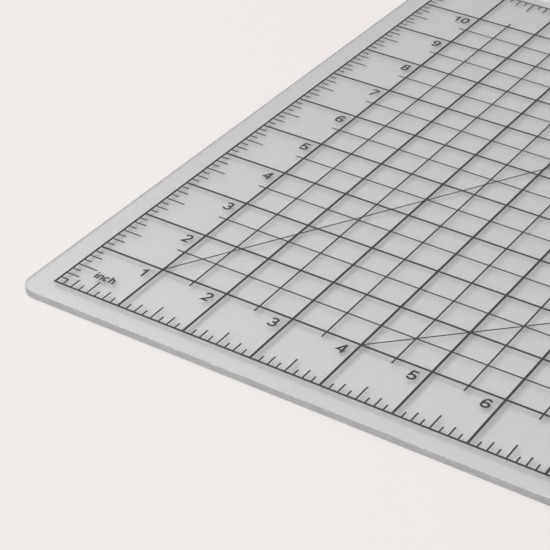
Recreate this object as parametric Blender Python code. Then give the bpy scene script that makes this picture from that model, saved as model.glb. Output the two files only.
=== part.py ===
"""Translucent self-healing cutting mat with a printed inch grid.

Three flat plies are laminated into one sheet that lies on a table. The measuring print is on its top face:
a border with edge scales, inch lines, half-inch lines and two guide lines.
X runs along the mat's long front edge, Y away from it and Z up. The origin is the middle of the underside.
"""

import math

import bmesh
import bpy
from mathutils import Matrix, Quaternion, Vector

MM = 0.001
INCH = 25.4 * MM

# Printed grid, in whole inches, and the plain margin around it
GRID_X = 17
GRID_Y = 11
MARGIN_X = 8.8 * MM
MARGIN_Y = 9.3 * MM

# Sheet
MAT_LENGTH = GRID_X * INCH + 2 * MARGIN_X
MAT_WIDTH = GRID_Y * INCH + 2 * MARGIN_Y
CORNER_RADIUS = 7.0 * MM
CORNER_SEGMENTS = 10
FACE_PLY = 0.8 * MM
CORE_PLY = 0.9 * MM
BOND_LINE = 0.05 * MM
TOP_RIM_RADIUS = 0.45 * MM
BOTTOM_RIM_RADIUS = 0.25 * MM
RIM_SEGMENTS = 3

# Print, in passes that lie one above another so that crossing lines don't share space
INK_THICKNESS = 0.02 * MM
INK_STEP = 0.03 * MM
BORDER_WIDTH = 0.85 * MM
INCH_LINE_WIDTH = 0.92 * MM
HALF_INCH_LINE_WIDTH = 0.62 * MM
TICK_WIDTH = 0.60 * MM
GUIDE_LINE_WIDTH = 0.52 * MM

# The outer band of the grid is one inch wide. The half-inch lines stop just outside its inner side.
BAND = 1
OVERSHOOT = 1 / 8

# Edge scales in eighths of an inch, with the lengths of their ticks in inches
EIGHTHS = 8
EIGHTH_TICK = 1 / 8
QUARTER_TICK = 5.0 * MM / INCH
HALF_TICK = 7.7 * MM / INCH

# Guide lines: where each starts on the inner front line, in inches, and its angle in degrees
GUIDE_LINES = {"print_guide_line_60": (1, 60), "print_guide_line_45": (4, 45)}

SHEET_COLOR = (0.60, 0.61, 0.63)
CORE_COLOR = (0.55, 0.56, 0.58)
INK_COLOR = (0.02, 0.02, 0.022)


def clear_scene():
    """Removes every object, so the script starts from an empty scene."""
    for obj in list(bpy.data.objects):
        bpy.data.objects.remove(obj, do_unlink=True)


def new_collection(name):
    collection = bpy.data.collections.new(name)
    bpy.context.scene.collection.children.link(collection)
    return collection


def plastic(name, color, roughness):
    """A plain non-metallic Principled material."""
    material = bpy.data.materials.new(name)
    material.use_nodes = True
    shader = material.node_tree.nodes["Principled BSDF"]
    shader.inputs["Base Color"].default_value = (*color, 1.0)
    shader.inputs["Roughness"].default_value = roughness
    shader.inputs["Metallic"].default_value = 0.0
    material.diffuse_color = (*color, 1.0)
    return material


def add_object(name, bm, location, material, collection):
    """Turns a bmesh into a named object with its own material."""
    mesh = bpy.data.meshes.new(name)
    bm.to_mesh(mesh)
    bm.free()
    obj = bpy.data.objects.new(name, mesh)
    obj.location = location
    mesh.materials.append(material)
    collection.objects.link(obj)
    return obj


# ---- sheet ----

def round_edges(bm, edges, radius, segments):
    bmesh.ops.bevel(bm, geom=edges, offset=radius, segments=segments, profile=0.5, affect="EDGES")


def vertical_edges(bm):
    return [edge for edge in bm.edges if edge.verts[0].co.z * edge.verts[1].co.z < 0]


def rim_edges(bm, side):
    """Edges around the upper (side 1) or lower (side -1) face."""
    return [edge for edge in bm.edges if all(vert.co.z * side > 0 for vert in edge.verts)]


def add_ply(name, bottom, thickness, rims, color, collection):
    """One flat ply with rounded corners. rims gives the edge radius of its upper (1) or lower (-1) face."""
    bm = bmesh.new()
    size = Matrix.Diagonal((MAT_LENGTH, MAT_WIDTH, thickness, 1.0))
    bmesh.ops.create_cube(bm, size=1.0, matrix=size)
    round_edges(bm, vertical_edges(bm), CORNER_RADIUS, CORNER_SEGMENTS)
    for side, radius in rims.items():
        round_edges(bm, rim_edges(bm, side), radius, RIM_SEGMENTS)
    material = plastic(name, color, roughness=0.45)
    ply = add_object(name, bm, (0, 0, bottom + thickness / 2), material, collection)
    ply.data.shade_smooth()
    ply.data.set_sharp_from_angle(angle=math.radians(40))
    return bottom + thickness


def add_sheet(collection):
    """Stacks the plies from the table up, with a bond line between them. Returns the top face's height."""
    top = add_ply("bottom_ply", 0.0, FACE_PLY, {-1: BOTTOM_RIM_RADIUS}, SHEET_COLOR, collection)
    top = add_ply("core_ply", top + BOND_LINE, CORE_PLY, {}, CORE_COLOR, collection)
    return add_ply("top_ply", top + BOND_LINE, FACE_PLY, {1: TOP_RIM_RADIUS}, SHEET_COLOR, collection)


# ---- print ----

def add_line(bm, start, end, width):
    """A thin box of ink between two points of the grid, given in inches from its front left corner."""
    run = Vector(end) - Vector(start)
    middle = (Vector(start) + Vector(end)) / 2 * INCH
    turn = Quaternion((0, 0, 1), math.atan2(run.y, run.x))
    size = Vector((run.length * INCH, width, INK_THICKNESS))
    bmesh.ops.create_cube(bm, size=1.0, matrix=Matrix.LocRotScale(middle.to_3d(), turn, size))


def line_layer(name, lines, level, sheet_top, collection):
    """One object of ink lines, each given as start, end and width. Level counts the print passes from 0."""
    bm = bmesh.new()
    for start, end, width in lines:
        add_line(bm, start, end, width)
    height = sheet_top + (level + 1) * INK_STEP - INK_THICKNESS / 2
    corner = (-GRID_X * INCH / 2, -GRID_Y * INCH / 2, height)
    return add_object(name, bm, corner, plastic(name, INK_COLOR, roughness=0.6), collection)


def crossing_layer(name, along_x, along_y, level, sheet_top, collection, cutters):
    """Unites lines along X with the lines along Y that cross them, into one body."""
    layer = line_layer(name, along_x, level, sheet_top, collection)
    crossing = line_layer(name + "_along_y", along_y, level, sheet_top, cutters)
    crossing.display_type = "WIRE"
    crossing.hide_render = True
    union = layer.modifiers.new("union", "BOOLEAN")
    union.operation = "UNION"
    union.solver = "EXACT"
    union.object = crossing


def tick_length(eighth):
    """The tick at the half inch is the longest, then those at the quarters."""
    if eighth % EIGHTHS == EIGHTHS // 2:
        return HALF_TICK
    if eighth % 2 == 0:
        return QUARTER_TICK
    return EIGHTH_TICK


def tick_positions(inches):
    """Position in inches and length of each tick along a scale. The whole inches have no tick."""
    return [(eighth / EIGHTHS, tick_length(eighth)) for eighth in range(inches * EIGHTHS) if eighth % EIGHTHS]


def add_border_and_scales(level, sheet_top, collection, cutters):
    """The border with its inward ticks. The first two ticks at each corner meet and close a small square."""
    corner = BORDER_WIDTH / 2 / INCH
    along_x = [((-corner, y), (GRID_X + corner, y), BORDER_WIDTH) for y in (0, GRID_Y)]
    along_y = [((x, -corner), (x, GRID_Y + corner), BORDER_WIDTH) for x in (0, GRID_X)]
    for y, length in tick_positions(GRID_Y):
        along_x.append(((0, y), (length, y), TICK_WIDTH))
        along_x.append(((GRID_X - length, y), (GRID_X, y), TICK_WIDTH))
    for x, length in tick_positions(GRID_X):
        along_y.append(((x, 0), (x, length), TICK_WIDTH))
        along_y.append(((x, GRID_Y - length), (x, GRID_Y), TICK_WIDTH))
    crossing_layer("print_border_and_scales", along_x, along_y, level, sheet_top, collection, cutters)


def add_inch_lines(level, sheet_top, collection, cutters):
    """Bold lines at every whole inch, from border to border."""
    along_x = [((0, y), (GRID_X, y), INCH_LINE_WIDTH) for y in range(1, GRID_Y)]
    along_y = [((x, 0), (x, GRID_Y), INCH_LINE_WIDTH) for x in range(1, GRID_X)]
    crossing_layer("print_inch_lines", along_x, along_y, level, sheet_top, collection, cutters)


def add_half_inch_lines(level, sheet_top, collection, cutters):
    """Thin lines halfway between the inch lines, inside the outer band but for a short overshoot."""
    low = BAND - OVERSHOOT
    high_x = GRID_X - low
    high_y = GRID_Y - low
    along_x = [((low, y + 0.5), (high_x, y + 0.5), HALF_INCH_LINE_WIDTH) for y in range(BAND, GRID_Y - BAND)]
    along_y = [((x + 0.5, low), (x + 0.5, high_y), HALF_INCH_LINE_WIDTH) for x in range(BAND, GRID_X - BAND)]
    crossing_layer("print_half_inch_lines", along_x, along_y, level, sheet_top, collection, cutters)


def add_guide_lines(level, sheet_top, collection):
    """Slanting lines that run from the inner front line to the inner back line."""
    rise = GRID_Y - 2 * BAND
    for name, (start_x, angle) in GUIDE_LINES.items():
        end_x = start_x + rise / math.tan(math.radians(angle))
        line = ((start_x, BAND), (end_x, BAND + rise), GUIDE_LINE_WIDTH)
        line_layer(name, [line], level, sheet_top, collection)


def main():
    clear_scene()
    parts = new_collection("cutting_mat")
    cutters = new_collection("cutters")
    sheet_top = add_sheet(parts)
    add_border_and_scales(0, sheet_top, parts, cutters)
    add_inch_lines(1, sheet_top, parts, cutters)
    add_half_inch_lines(2, sheet_top, parts, cutters)
    add_guide_lines(3, sheet_top, parts)


main()
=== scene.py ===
"""Looks of the translucent cutting mat: laminated sheet, screen print and numerals, on a pale table."""

import math

import bmesh
import bpy
from mathutils import Matrix, Quaternion, Vector


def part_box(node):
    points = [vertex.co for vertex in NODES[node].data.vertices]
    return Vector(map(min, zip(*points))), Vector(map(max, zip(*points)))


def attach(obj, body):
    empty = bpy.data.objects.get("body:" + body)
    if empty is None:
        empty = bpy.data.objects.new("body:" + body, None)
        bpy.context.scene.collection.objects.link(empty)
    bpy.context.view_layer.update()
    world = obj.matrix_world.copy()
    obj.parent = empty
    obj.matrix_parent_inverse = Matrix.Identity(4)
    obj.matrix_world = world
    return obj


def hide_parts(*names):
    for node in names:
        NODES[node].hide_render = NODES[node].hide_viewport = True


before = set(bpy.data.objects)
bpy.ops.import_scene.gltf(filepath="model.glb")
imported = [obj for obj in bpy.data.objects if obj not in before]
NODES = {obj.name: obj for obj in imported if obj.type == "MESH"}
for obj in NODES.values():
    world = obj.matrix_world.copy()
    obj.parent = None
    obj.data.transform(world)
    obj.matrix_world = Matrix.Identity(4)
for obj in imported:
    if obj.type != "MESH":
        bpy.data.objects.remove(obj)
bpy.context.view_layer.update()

MM = 0.001
INCH = 25.4 * MM

# Sheet
CORNER_RADIUS = 7.0 * MM
CORNER_SEGMENTS = 24
TOP_RIM_RADIUS = 0.45 * MM
BOTTOM_RIM_RADIUS = 0.25 * MM
RIM_SEGMENTS = 5

# Plastic: the tint of the view through it and of the light through it, and the share that isn't milky
SHEET_TINT = (0.80, 0.815, 0.82)
LIGHT_TINT = (0.91, 0.915, 0.915)
SHEET_CLARITY = 0.88
SHEET_IOR = 1.5
SHEET_ROUGHNESS = (0.20, 0.28)
GRAIN_SCALE = 2500
GRAIN_DEPTH = 0.05 * MM
GRAIN_STRENGTH = 0.1

# Numerals and unit word, in inches of the printed grid
NUMERAL_HEIGHT = 0.187
NUMERAL_FROM_LINE = 0.104
NUMERAL_BELOW_LINE = 0.098
UNIT_WORD = "inch"
UNIT_WORD_HEIGHT = 0.141
UNIT_WORD_CORNER = (0.342, 0.352)

# Stroke letters. Lengths are shares of the letter height. Edges shorter than SLIVER are dissolved, and
# MITRE_LIMIT keeps the tips of sharp corners short.
NUMERAL_STROKE = 0.172
UNIT_WORD_STROKE = 0.21
SIDE_BEARING = 0.12
DIGIT_ADVANCE = 0.78
SLIVER = 0.001
SAME_POINT = 1e-6
MITRE_LIMIT = 0.4
ARC_STEP_DEGREES = 12

# Ink
INK_THICKNESS = 0.02 * MM
INK_DARK = (0.022, 0.022, 0.023, 1)
INK_LIGHT = (0.052, 0.052, 0.054, 1)
INK_ROUGHNESS = (0.45, 0.6)
INK_PATCH_SCALE = 900

# Table top: how far it reaches from the middle, and how far it lies under the mat so that faces don't meet
TABLE_REACH = 4.0
TABLE_DROP = 0.05 * MM
TABLE_COLOR = (0.81, 0.77, 0.757, 1.0)
TABLE_ROUGHNESS = 0.8

# Camera
AIM_INCHES = (2.276, 1.721)
CAMERA_AZIMUTH = 31.55
CAMERA_ELEVATION = 33.62
CAMERA_ROLL = 1.50
CAMERA_DISTANCE = 0.6393
CAMERA_LENS = 126.3
CAMERA_SENSOR = 36.0

# Light: how far each lamp leans off the vertical to the left and to the front in degrees, its size along Y
# and across it in metres, and its power in watts. The card stands in for a pale board, behind on the left.
LAMP_DISTANCE = 2.6
LAMPS = {
    "softbox": {"left": 15, "front": 15, "size": (4.5, 2.0), "power": 88},
    "card": {"left": 39, "front": -34, "size": (0.9, 0.9), "power": 2.6},
}
WORLD_STRENGTH = 0.25

PLIES = ("bottom_ply", "core_ply", "top_ply")
PRINT_NODES = [name for name in NODES if name.startswith("print_")]


class Grid:
    """The printed inch grid: its corner, its size in inches and the height of the face it is printed on."""

    def __init__(self):
        low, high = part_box("print_inch_lines")
        self.corner = Vector((low.x, low.y))
        self.count_x = round((high.x - low.x) / INCH)
        self.count_y = round((high.y - low.y) / INCH)
        self.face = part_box("top_ply")[1].z
        self.ink_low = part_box("print_border_and_scales")[0].z

    def point(self, x, y, z=None):
        """A place on the printed face, from inches along the front and left scales."""
        flat = self.corner + Vector((x, y)) * INCH
        return Vector((flat.x, flat.y, self.face if z is None else z))


grid = Grid()


# ---- small helpers ----

def new_object(name, bm):
    mesh = bpy.data.meshes.new(name)
    bm.to_mesh(mesh)
    bm.free()
    obj = bpy.data.objects.new(name, mesh)
    bpy.context.scene.collection.objects.link(obj)
    return obj


def new_material(name):
    """A material with its node tree and Principled shader."""
    material = bpy.data.materials.new(name)
    material.use_nodes = True
    return material, material.node_tree, material.node_tree.nodes["Principled BSDF"]


def add_noise(tree, scale, detail):
    """Noise in object space, so it keeps its real size."""
    place = tree.nodes.new("ShaderNodeTexCoord")
    noise = tree.nodes.new("ShaderNodeTexNoise")
    noise.inputs["Scale"].default_value = scale
    noise.inputs["Detail"].default_value = detail
    tree.links.new(place.outputs["Object"], noise.inputs["Vector"])
    return noise.outputs["Fac"]


def add_range(tree, value, low, high):
    """Maps a 0 to 1 value to low..high."""
    change = tree.nodes.new("ShaderNodeMapRange")
    change.inputs["To Min"].default_value = low
    change.inputs["To Max"].default_value = high
    tree.links.new(value, change.inputs["Value"])
    return change.outputs["Result"]


def add_bump(tree, height, strength, distance):
    bump = tree.nodes.new("ShaderNodeBump")
    bump.inputs["Strength"].default_value = strength
    bump.inputs["Distance"].default_value = distance
    tree.links.new(height, bump.inputs["Height"])
    return bump.outputs["Normal"]


# ---- sheet ----

def let_light_through(tree, shader, color):
    """Lets lamp light and diffuse light pass straight through a clear sheet. Only the view is refracted."""
    path = tree.nodes.new("ShaderNodeLightPath")
    either = tree.nodes.new("ShaderNodeMath")
    either.operation = "MAXIMUM"
    tree.links.new(path.outputs["Is Shadow Ray"], either.inputs[0])
    tree.links.new(path.outputs["Is Diffuse Ray"], either.inputs[1])
    clear = tree.nodes.new("ShaderNodeBsdfTransparent")
    clear.inputs["Color"].default_value = (*color, 1.0)
    mix = tree.nodes.new("ShaderNodeMixShader")
    tree.links.new(either.outputs["Value"], mix.inputs["Fac"])
    tree.links.new(shader.outputs["BSDF"], mix.inputs[1])
    tree.links.new(clear.outputs["BSDF"], mix.inputs[2])
    tree.links.new(mix.outputs["Shader"], tree.nodes["Material Output"].inputs["Surface"])


def sheet_material():
    """Hazy see-through PVC with a fine matte face."""
    material, tree, shader = new_material("hazy_pvc")
    shader.inputs["Base Color"].default_value = (*SHEET_TINT, 1.0)
    shader.inputs["Transmission Weight"].default_value = SHEET_CLARITY
    shader.inputs["IOR"].default_value = SHEET_IOR
    grain = add_noise(tree, GRAIN_SCALE, detail=2)
    tree.links.new(add_range(tree, grain, *SHEET_ROUGHNESS), shader.inputs["Roughness"])
    tree.links.new(add_bump(tree, grain, GRAIN_STRENGTH, GRAIN_DEPTH), shader.inputs["Normal"])
    let_light_through(tree, shader, LIGHT_TINT)
    return material


def round_edges(bm, edges, radius, segments):
    bmesh.ops.bevel(bm, geom=edges, offset=radius, segments=segments, profile=0.5, affect="EDGES")


def upright_edges(bm):
    """The vertical edges of a slab centred on Z 0."""
    return [edge for edge in bm.edges if edge.verts[0].co.z * edge.verts[1].co.z < 0]


def rim_edges(bm, side):
    """Edges around the upper (side 1) or lower (side -1) face of a slab centred on Z 0."""
    return [edge for edge in bm.edges if all(vert.co.z * side > 0 for vert in edge.verts)]


def make_sheet():
    """The three plies as one die-cut sheet with rounded corners and softly rounded rims."""
    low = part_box("bottom_ply")[0]
    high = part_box("top_ply")[1]
    size = high - low
    bm = bmesh.new()
    bmesh.ops.create_cube(bm, size=1.0, matrix=Matrix.Diagonal((*size, 1.0)))
    round_edges(bm, upright_edges(bm), CORNER_RADIUS, CORNER_SEGMENTS)
    for side, radius in ((1, TOP_RIM_RADIUS), (-1, BOTTOM_RIM_RADIUS)):
        round_edges(bm, rim_edges(bm, side), radius, RIM_SEGMENTS)
    bmesh.ops.translate(bm, verts=bm.verts, vec=(low + high) / 2)
    sheet = new_object("laminated_sheet", bm)
    sheet.data.shade_smooth()
    flat_faces = sheet.modifiers.new("flat_faces", "WEIGHTED_NORMAL")
    flat_faces.weight = 100
    sheet.data.materials.append(sheet_material())
    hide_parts(*PLIES)
    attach(sheet, "root")


# ---- print ----

def ink_material():
    """Matte black screen ink, with a faint unevenness."""
    material, tree, shader = new_material("screen_ink")
    shade = add_noise(tree, INK_PATCH_SCALE, detail=3)
    tone = tree.nodes.new("ShaderNodeValToRGB")
    tone.color_ramp.elements[0].color = INK_DARK
    tone.color_ramp.elements[1].color = INK_LIGHT
    tree.links.new(shade, tone.inputs["Fac"])
    tree.links.new(tone.outputs["Color"], shader.inputs["Base Color"])
    tree.links.new(add_range(tree, shade, *INK_ROUGHNESS), shader.inputs["Roughness"])
    return material


def arc(center, radii, start, end):
    """Points along an arc of an ellipse, from one angle in degrees to the other."""
    steps = max(2, round(abs(end - start) / ARC_STEP_DEGREES))
    angles = [math.radians(start + (end - start) * step / steps) for step in range(steps + 1)]
    return [(center[0] + radii[0] * math.cos(a), center[1] + radii[1] * math.sin(a)) for a in angles]


def digit_strokes():
    """Stroke centrelines of the digits, for a height of 1."""
    return {
        "0": [arc((0.32, 0.50), (0.26, 0.44), 90, 450)],
        "1": [[(0.40, 0.0), (0.40, 1.0)], arc((0.08, 1.02), (0.34, 0.28), 270, 335)],
        "2": [arc((0.33, 0.69), (0.225, 0.245), 170, -32) + [(0.11, 0.075), (0.57, 0.075)]],
        "3": [
            arc((0.31, 0.72), (0.225, 0.218), 165, -90) + [(0.22, 0.502)],
            [(0.22, 0.502)] + arc((0.31, 0.282), (0.262, 0.22), 90, -165),
        ],
        "4": [[(0.48, 0.0), (0.48, 1.0)], [(0.45, 0.96), (0.07, 0.29), (0.64, 0.29)]],
        "5": [[(0.58, 0.938), (0.17, 0.938), (0.10, 0.49)] + arc((0.31, 0.32), (0.265, 0.258), 128, -165)],
        "6": [
            arc((0.33, 0.31), (0.258, 0.248), 90, 450),
            arc((0.35, 0.47), (0.278, 0.465), 200, 90) + arc((0.35, 0.72), (0.215, 0.215), 85, 12),
        ],
        "7": [[(0.05, 0.938), (0.585, 0.938)] + arc((0.92, -0.02), (0.68, 0.84), 122, 180)],
        "8": [arc((0.32, 0.725), (0.222, 0.213), 90, 450), arc((0.32, 0.285), (0.26, 0.223), 90, 450)],
        "9": [
            arc((0.31, 0.69), (0.258, 0.248), 90, 450),
            arc((0.29, 0.53), (0.278, 0.465), 20, -90) + arc((0.29, 0.28), (0.215, 0.215), -95, -168),
        ],
    }


def glyphs():
    """Advance width and stroke centrelines of each character, for a numeral height of 1."""
    shoulder = arc((0.335, 0.44), (0.195, 0.225), 180, 0) + [(0.53, 0.0)]
    letters = {
        "i": (0.28, [[(0.14, 0.0), (0.14, 0.72)], [(0.14, 0.84), (0.14, 0.98)]]),
        "n": (0.69, [[(0.14, 0.0), (0.14, 0.72)], shoulder]),
        "c": (0.62, [arc((0.33, 0.36), (0.23, 0.29), 48, 312)]),
        "h": (0.69, [[(0.14, 0.0), (0.14, 1.0)], shoulder]),
    }
    digits = {digit: (DIGIT_ADVANCE, strokes) for digit, strokes in digit_strokes().items()}
    return digits | letters


def left_normal(start, end):
    run = end - start
    return Vector((-run.y, run.x)).normalized()


def stroke_sides(points, half):
    """Left and right edge of a stroke of constant width along a line of points, with mitred corners."""
    closed = (Vector(points[0]) - Vector(points[-1])).length < SAME_POINT
    path = [Vector(point) for point in points]
    if closed:
        path.pop()
    sides = []
    last = len(path) - 1
    for index, point in enumerate(path):
        before = path[index - 1] if index or closed else None
        after = path[(index + 1) % len(path)] if index < last or closed else None
        runs = [(a, b) for a, b in ((before, point), (point, after)) if a is not None and b is not None]
        normals = [left_normal(a, b) for a, b in runs]
        normal = sum(normals, Vector((0, 0))).normalized()
        reach = half / max(MITRE_LIMIT, normal.dot(normals[0]))
        sides.append((point + normal * reach, point - normal * reach))
    return sides, closed


def stroke_solid(points, width):
    """A flat closed solid of a stroke, one unit thick, from Z -0.5 to 0.5."""
    sides, closed = stroke_sides(points, width / 2)
    bm = bmesh.new()
    rings = []
    for left, right in sides:
        corners = ((left, 0.5), (left, -0.5), (right, -0.5), (right, 0.5))
        rings.append([bm.verts.new((flat.x, flat.y, z)) for flat, z in corners])
    pairs = list(zip(rings, rings[1:]))
    if closed:
        pairs.append((rings[-1], rings[0]))
    else:
        bm.faces.new(rings[0])
        bm.faces.new(rings[-1])
    for ring, following in pairs:
        for k in range(4):
            bm.faces.new((ring[k], ring[(k + 1) % 4], following[(k + 1) % 4], following[k]))
    bmesh.ops.recalc_face_normals(bm, faces=bm.faces)
    return new_object("stroke", bm)


def glyph_mesh(strokes, width):
    """Unites a character's strokes into one outline and returns its mesh, without the union's slivers."""
    solids = [stroke_solid(points, width) for points in strokes]
    base = solids[0]
    for other in solids[1:]:
        union = base.modifiers.new("union", "BOOLEAN")
        union.operation = "UNION"
        union.object = other
    view = bpy.context.evaluated_depsgraph_get()
    mesh = bpy.data.meshes.new_from_object(base.evaluated_get(view))
    for solid in solids:
        bpy.data.objects.remove(solid)
    bm = bmesh.new()
    bm.from_mesh(mesh)
    bmesh.ops.dissolve_degenerate(bm, dist=SLIVER, edges=bm.edges)
    bm.to_mesh(mesh)
    bm.free()
    return mesh


class Lettering:
    """Draws words with stroke letters of one weight into one piece."""

    def __init__(self, chars, stroke):
        shapes = glyphs()
        self.letters = {char: (shapes[char][0], glyph_mesh(shapes[char][1], stroke)) for char in chars}

    def width(self, word):
        return sum(self.letters[char][0] for char in word)

    def write(self, bm, word, left, base, height):
        """Adds a word to a bmesh. left, base and height are in inches of the grid."""
        for char in word:
            advance, mesh = self.letters[char]
            place = grid.point(left, base, grid.ink_low + INK_THICKNESS / 2)
            scale = Vector((height * INCH, height * INCH, INK_THICKNESS))
            letter = mesh.copy()
            letter.transform(Matrix.LocRotScale(place, None, scale))
            bm.from_mesh(letter)
            bpy.data.meshes.remove(letter)
            left += advance * height


def finish_print(name, bm, material):
    piece = new_object(name, bm)
    piece.data.materials.append(material)
    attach(piece, "root")


def make_numerals(lettering, material):
    """Each number stands in the upper right corner of its one-inch cell, along the front and the left side.

    The last inch of each scale has none, because it would stand on the ticks of the far border.
    """
    side_bearing = SIDE_BEARING * NUMERAL_HEIGHT
    cells = {
        "numerals_front": [(number, number, 1) for number in range(1, grid.count_x)],
        "numerals_left": [(number, 1, number) for number in range(2, grid.count_y)],
    }
    for name, places in cells.items():
        bm = bmesh.new()
        for number, right, top in places:
            word = str(number)
            left = right - NUMERAL_FROM_LINE + side_bearing - lettering.width(word) * NUMERAL_HEIGHT
            lettering.write(bm, word, left, top - NUMERAL_BELOW_LINE - NUMERAL_HEIGHT, NUMERAL_HEIGHT)
        finish_print(name, bm, material)


def make_print():
    material = ink_material()
    for name in PRINT_NODES:
        NODES[name].data.materials.clear()
        NODES[name].data.materials.append(material)
    make_numerals(Lettering("0123456789", NUMERAL_STROKE), material)
    bm = bmesh.new()
    Lettering(UNIT_WORD, UNIT_WORD_STROKE).write(bm, UNIT_WORD, *UNIT_WORD_CORNER, UNIT_WORD_HEIGHT)
    finish_print("unit_word", bm, material)


# ---- surroundings ----

def make_floor():
    """A pale warm white table top."""
    bm = bmesh.new()
    bmesh.ops.create_grid(bm, x_segments=1, y_segments=1, size=TABLE_REACH)
    floor = new_object("table", bm)
    floor.location.z = -TABLE_DROP
    material, _, shader = new_material("table_white")
    shader.inputs["Base Color"].default_value = TABLE_COLOR
    shader.inputs["Roughness"].default_value = TABLE_ROUGHNESS
    floor.data.materials.append(material)


def make_lamp(name, left, front, size, power):
    """A soft lamp that faces the camera's aim. Its first size runs along Y, as far as the lean allows."""
    toward = Vector((-math.tan(math.radians(left)), -math.tan(math.radians(front)), 1.0)).normalized()
    across = Vector((0, 1, 0)).cross(toward).normalized()
    along = toward.cross(across)
    data = bpy.data.lights.new(name, "AREA")
    data.shape = "RECTANGLE"
    data.size, data.size_y = size
    data.energy = power
    lamp = bpy.data.objects.new(name, data)
    lamp.location = grid.point(*AIM_INCHES) + toward * LAMP_DISTANCE
    lamp.rotation_euler = Matrix((along, -across, toward)).transposed().to_euler()
    bpy.context.scene.collection.objects.link(lamp)


def make_light():
    """Large soft lamps and an even pale surround."""
    world = bpy.data.worlds.new("surround")
    world.use_nodes = True
    background = world.node_tree.nodes["Background"]
    background.inputs["Color"].default_value = (1.0, 1.0, 1.0, 1.0)
    background.inputs["Strength"].default_value = WORLD_STRENGTH
    bpy.context.scene.world = world
    for name, lamp in LAMPS.items():
        make_lamp(name, **lamp)


def make_camera():
    azimuth = math.radians(CAMERA_AZIMUTH)
    elevation = math.radians(CAMERA_ELEVATION)
    flat = math.cos(elevation)
    back = Vector((math.sin(azimuth) * flat, -math.cos(azimuth) * flat, math.sin(elevation)))
    data = bpy.data.cameras.new("camera")
    data.lens = CAMERA_LENS
    data.sensor_width = CAMERA_SENSOR
    camera = bpy.data.objects.new("camera", data)
    camera.location = grid.point(*AIM_INCHES) + back * CAMERA_DISTANCE
    camera.rotation_mode = "QUATERNION"
    roll = Quaternion((0, 0, 1), math.radians(CAMERA_ROLL))
    camera.rotation_quaternion = (-back).to_track_quat("-Z", "Y") @ roll
    bpy.context.scene.collection.objects.link(camera)
    bpy.context.scene.camera = camera


bpy.context.scene.view_settings.view_transform = "Standard"
make_camera()
make_sheet()
make_print()
make_floor()
make_light()
